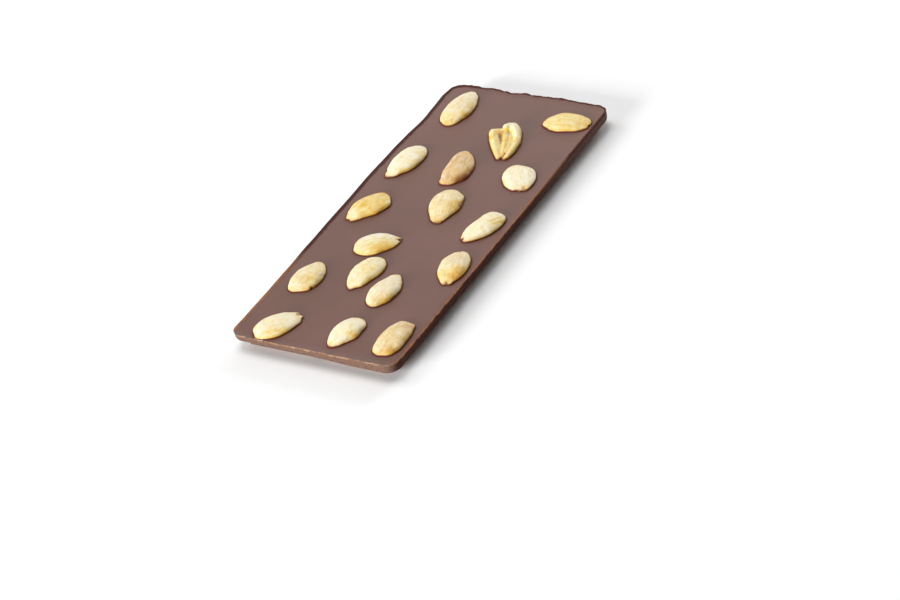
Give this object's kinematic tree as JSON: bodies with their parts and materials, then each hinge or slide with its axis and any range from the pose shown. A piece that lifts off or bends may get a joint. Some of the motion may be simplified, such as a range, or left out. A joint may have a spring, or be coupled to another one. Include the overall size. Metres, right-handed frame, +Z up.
{
  "type": "chocolate bar",
  "caption": "Tablet of dark chocolate lying on its moulded blocks, with whole roasted almonds set into its flat back.",
  "frame": {"origin": "under the middle of the tablet, on the plane that its moulded blocks rest on", "axes": "+X across the tablet, +Y along it, +Z up out of the back with the almonds"},
  "size_m": [0.074, 0.165, 0.0101],
  "materials": {
    "chocolate": "dark chocolate, satin on the back, matt and finely pitted on the moulded blocks",
    "almond": "blanched roasted almond, cream to golden",
    "brown_almond": "almond roasted to a light brown"
  },
  "bodies": {
    "root": {"chocolate": "chocolate", "almond_01": "almond", "almond_02": "almond", "almond_03": "almond", "almond_04": "almond", "almond_05": "brown_almond", "almond_06": "almond", "almond_07": "almond", "almond_08": "almond", "almond_09": "almond", "almond_10": "almond", "almond_11": "almond", "almond_12": "almond", "almond_13": "almond", "almond_14": "almond", "almond_15": "almond", "almond_16": "almond", "almond_17": "almond"}
  },
  "joints": []
}
